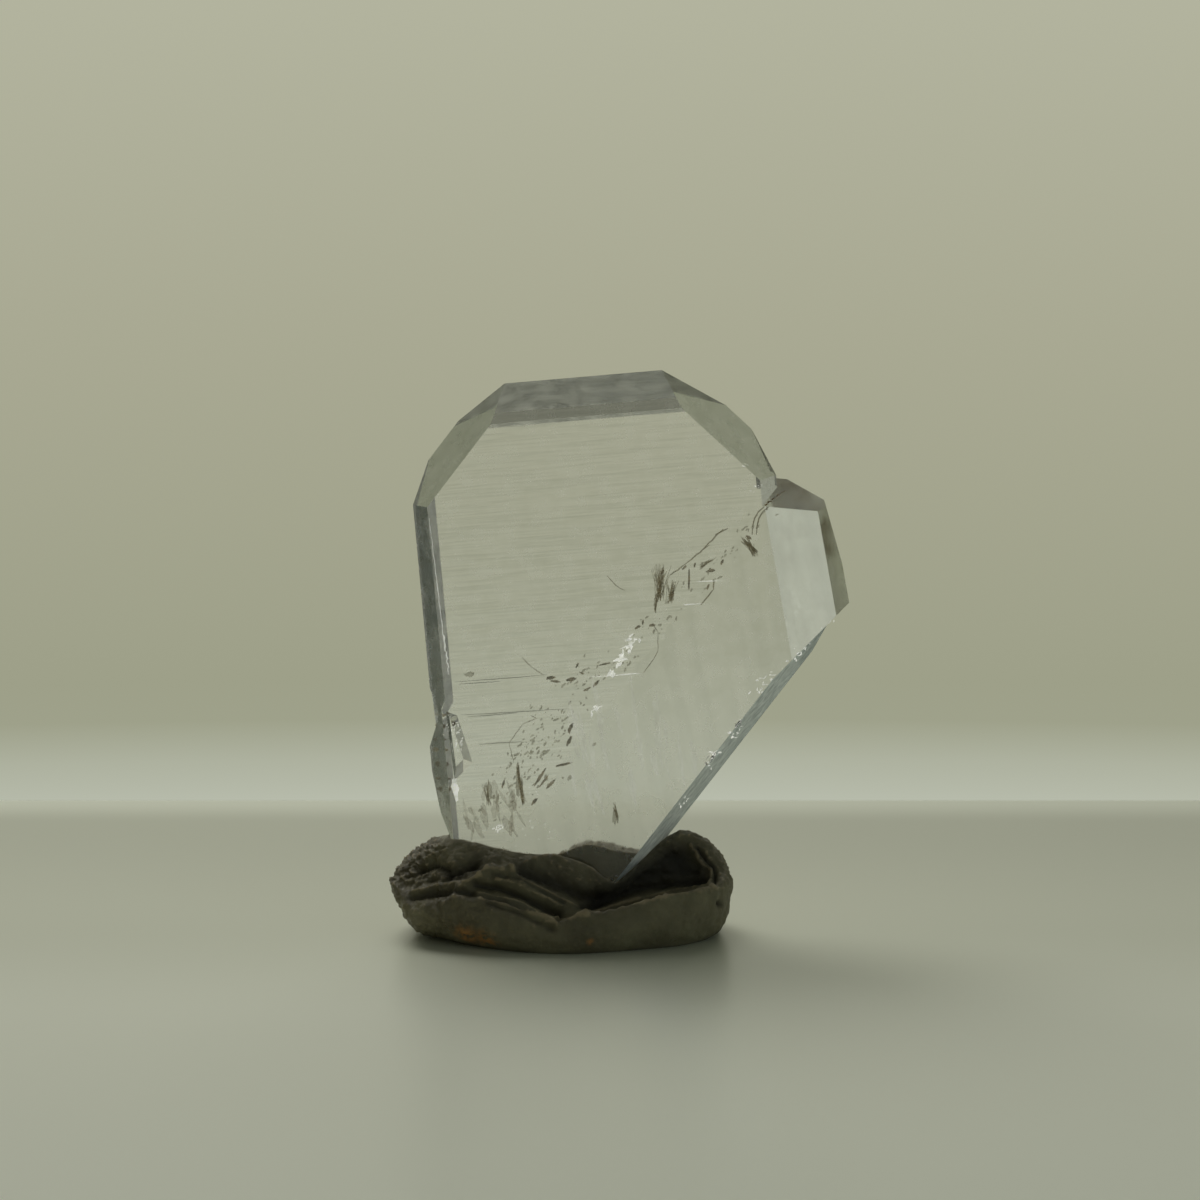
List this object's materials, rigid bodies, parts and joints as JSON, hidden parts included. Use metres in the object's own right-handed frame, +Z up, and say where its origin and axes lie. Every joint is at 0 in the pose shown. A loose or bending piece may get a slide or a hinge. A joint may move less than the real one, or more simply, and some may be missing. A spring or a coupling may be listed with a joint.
{
  "type": "mineral specimen",
  "caption": "Clear V-shaped twin of flattened quartz crystals, standing upright in a lump of dark mineral tack with a flat underside.",
  "frame": {"origin": "under the middle of the whole piece, on the tack's flat underside", "axes": "+Z up, +X to the right and +Y away from the viewer, square to the plate of the twin"},
  "size_m": [0.0214, 0.0098, 0.0264],
  "materials": {
    "quartz": "clear natural crystal faces with fine striations",
    "tack": "matt, kneaded, folded and lint-marked"
  },
  "bodies": {
    "root": {"twin_crystal": "quartz", "mounting_putty": "tack"}
  },
  "joints": []
}
